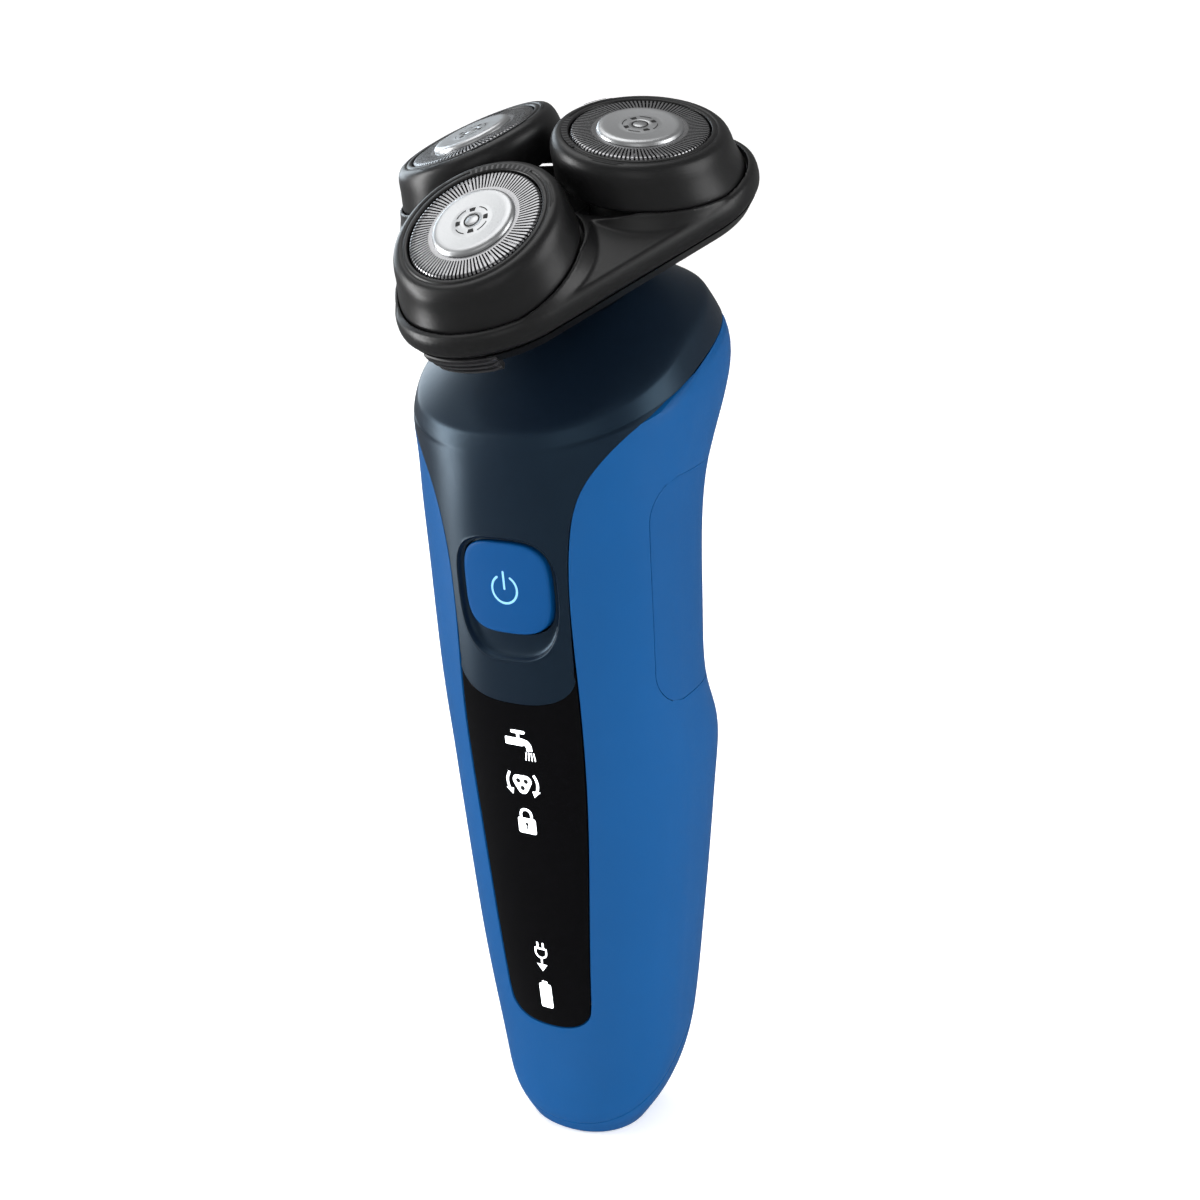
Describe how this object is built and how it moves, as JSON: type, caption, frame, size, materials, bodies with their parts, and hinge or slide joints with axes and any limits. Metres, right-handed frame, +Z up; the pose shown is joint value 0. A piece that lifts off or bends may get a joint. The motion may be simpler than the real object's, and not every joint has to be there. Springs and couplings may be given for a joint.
{
  "type": "rotary electric shaver",
  "caption": "Cordless rotary shaver: slim contoured handle with one power key and a lit lens, and a pull-off head whose floating round guards sit over geared cutters under an opening frame.",
  "frame": {"origin": "middle line of the handle on the flat base", "axes": "+Z up along the handle, -Y towards the power key, +X to the right when seen from behind the key looking along +Y"},
  "size_m": [0.0584, 0.0539, 0.1645],
  "materials": {
    "navy_gloss": "deep navy high-gloss moulding",
    "blue_satin": "satin metallic blue lacquer",
    "grip_blue": "satin blue grip",
    "lens_black": "gloss black display lens",
    "button_blue": "satin blue key",
    "head_black": "satin black moulding",
    "guard_steel": "ground stainless steel",
    "cap_chrome": "bright plated",
    "steel": "plain steel",
    "brass": "turned brass",
    "gear_white": "natural acetal",
    "chassis_grey": "moulded grey",
    "board_green": "solder resist",
    "cell_wrap": "shrink wrap",
    "magnet": "sintered magnet",
    "rubber": "soft seal",
    "led_white": "lamp",
    "guide_clear": "clear light guide"
  },
  "bodies": {
    "handle": {"rear_shell": "blue_satin", "grip_panel": "grip_blue", "front_cover": "navy_gloss", "display_window": "lens_black", "bottom_cap": "blue_satin", "battery_cell": "cell_wrap", "inner_chassis": "chassis_grey", "chassis_screws": "steel", "motor_can": "steel", "motor_magnets": "magnet", "motor_endcap": "chassis_grey", "main_board": "board_green", "tact_switch": "chassis_grey", "display_leds": "led_white", "light_guide": "guide_clear", "wiring_leads": "brass", "button_membrane": "rubber", "charging_socket": "head_black", "socket_pins": "brass", "neck_socket": "chassis_grey", "shaft_seal": "rubber"},
    "power_key": {"power_button": "button_blue"},
    "rotor": {"motor_shaft": "steel", "motor_rotor": "steel", "drive_pinion": "brass"},
    "coupler": {"bevel_wheel": "gear_white", "drive_coupler": "steel"},
    "shaving_head": {"head_connector": "head_black", "lower_housing": "head_black", "gear_plate": "chassis_grey", "gear_axles": "steel", "plate_screws": "steel", "hinge_pin": "steel", "release_spring": "steel"},
    "release": {"release_tab": "head_black"},
    "central_wheel": {"central_gear": "gear_white"},
    "frame": {"top_frame": "head_black", "hub_cap": "head_black", "tilt_springs": "steel"},
    "driven_1": {"driven_gear_1": "gear_white", "spindle_1": "chassis_grey"},
    "unit_1": {"skin_ring_1": "head_black", "guard_1": "guard_steel", "guard_cap_1": "cap_chrome", "retainer_1": "head_black"},
    "blades_1": {"cutter_1": "steel"},
    "driven_2": {"driven_gear_2": "gear_white", "spindle_2": "chassis_grey"},
    "unit_2": {"skin_ring_2": "head_black", "guard_2": "guard_steel", "guard_cap_2": "cap_chrome", "retainer_2": "head_black"},
    "blades_2": {"cutter_2": "steel"},
    "driven_3": {"driven_gear_3": "gear_white", "spindle_3": "chassis_grey"},
    "unit_3": {"skin_ring_3": "head_black", "guard_3": "guard_steel", "guard_cap_3": "cap_chrome", "retainer_3": "head_black"},
    "blades_3": {"cutter_3": "steel"}
  },
  "joints": [
    {"name": "power_press", "type": "slide", "parent": "handle", "child": "power_key", "axis": [0, 1, 0], "range_m": [0, 0.0004], "stiffness_N_per_m": 1200, "springref_m": -0.001},
    {"name": "motor_spin", "type": "hinge", "parent": "handle", "child": "rotor", "pos_m": [0, 0.0046, 0.098], "axis": [0, 0, 1], "continuous": true},
    {"name": "coupler_spin", "type": "hinge", "parent": "handle", "child": "coupler", "pos_m": [0, 0.01183, 0.13122], "axis": [0, -0.4226, 0.9063], "continuous": true},
    {"name": "head_pull", "type": "slide", "parent": "handle", "child": "shaving_head", "axis": [0, -0.4226, 0.9063], "range_m": [0, 0.03]},
    {"name": "release_press", "type": "slide", "parent": "shaving_head", "child": "release", "axis": [0, 0.9063, 0.4226], "range_m": [0, 0.0015], "stiffness_N_per_m": 400, "springref_m": -0.001, "deforming": ["release_spring"]},
    {"name": "central_spin", "type": "hinge", "parent": "shaving_head", "child": "central_wheel", "pos_m": [0, 0.00549, 0.14482], "axis": [0, -0.4226, 0.9063], "continuous": true},
    {"name": "frame_open", "type": "hinge", "parent": "shaving_head", "child": "frame", "pos_m": [0, 0.02514, 0.15475], "axis": [-1, 0, 0], "range_deg": [0, 90]},
    {"name": "driven_1_spin", "type": "hinge", "parent": "shaving_head", "child": "driven_1", "pos_m": [0, -0.00756, 0.13873], "axis": [0, -0.4226, 0.9063], "continuous": true},
    {"name": "unit_1_tilt", "type": "hinge", "parent": "frame", "child": "unit_1", "pos_m": [0, -0.01127, 0.14514], "axis": [1, 0, 0], "range_deg": [-3, 3], "stiffness_Nm_per_rad": 0.06, "deforming": ["tilt_springs"]},
    {"name": "blades_1_spin", "type": "hinge", "parent": "unit_1", "child": "blades_1", "pos_m": [0, -0.01127, 0.14514], "axis": [0, -0.6347, 0.7727], "continuous": true},
    {"name": "driven_2_spin", "type": "hinge", "parent": "shaving_head", "child": "driven_2", "pos_m": [0.01247, 0.01202, 0.14786], "axis": [0, -0.4226, 0.9063], "continuous": true},
    {"name": "unit_2_tilt", "type": "hinge", "parent": "frame", "child": "unit_2", "pos_m": [0.01304, 0.0092, 0.15469], "axis": [-0.5, 0.7849, 0.366], "range_deg": [-3, 3], "stiffness_Nm_per_rad": 0.06},
    {"name": "blades_2_spin", "type": "hinge", "parent": "unit_2", "child": "blades_2", "pos_m": [0.01304, 0.0092, 0.15469], "axis": [0.2154, -0.2966, 0.9304], "continuous": true},
    {"name": "driven_3_spin", "type": "hinge", "parent": "shaving_head", "child": "driven_3", "pos_m": [-0.01247, 0.01202, 0.14786], "axis": [0, -0.4226, 0.9063], "continuous": true},
    {"name": "unit_3_tilt", "type": "hinge", "parent": "frame", "child": "unit_3", "pos_m": [-0.01304, 0.0092, 0.15469], "axis": [-0.5, -0.7849, -0.366], "range_deg": [-3, 3], "stiffness_Nm_per_rad": 0.06},
    {"name": "blades_3_spin", "type": "hinge", "parent": "unit_3", "child": "blades_3", "pos_m": [-0.01304, 0.0092, 0.15469], "axis": [-0.2154, -0.2966, 0.9304], "continuous": true}
  ],
  "couplings": [
    {"joint": "coupler_spin", "follows": "motor_spin", "ratio": -0.47368},
    {"joint": "central_spin", "follows": "motor_spin", "ratio": -0.47368},
    {"joint": "driven_1_spin", "follows": "motor_spin", "ratio": 0.28421},
    {"joint": "blades_1_spin", "follows": "motor_spin", "ratio": 0.28421},
    {"joint": "driven_2_spin", "follows": "motor_spin", "ratio": 0.28421},
    {"joint": "blades_2_spin", "follows": "motor_spin", "ratio": 0.28421},
    {"joint": "driven_3_spin", "follows": "motor_spin", "ratio": 0.28421},
    {"joint": "blades_3_spin", "follows": "motor_spin", "ratio": 0.28421}
  ]
}
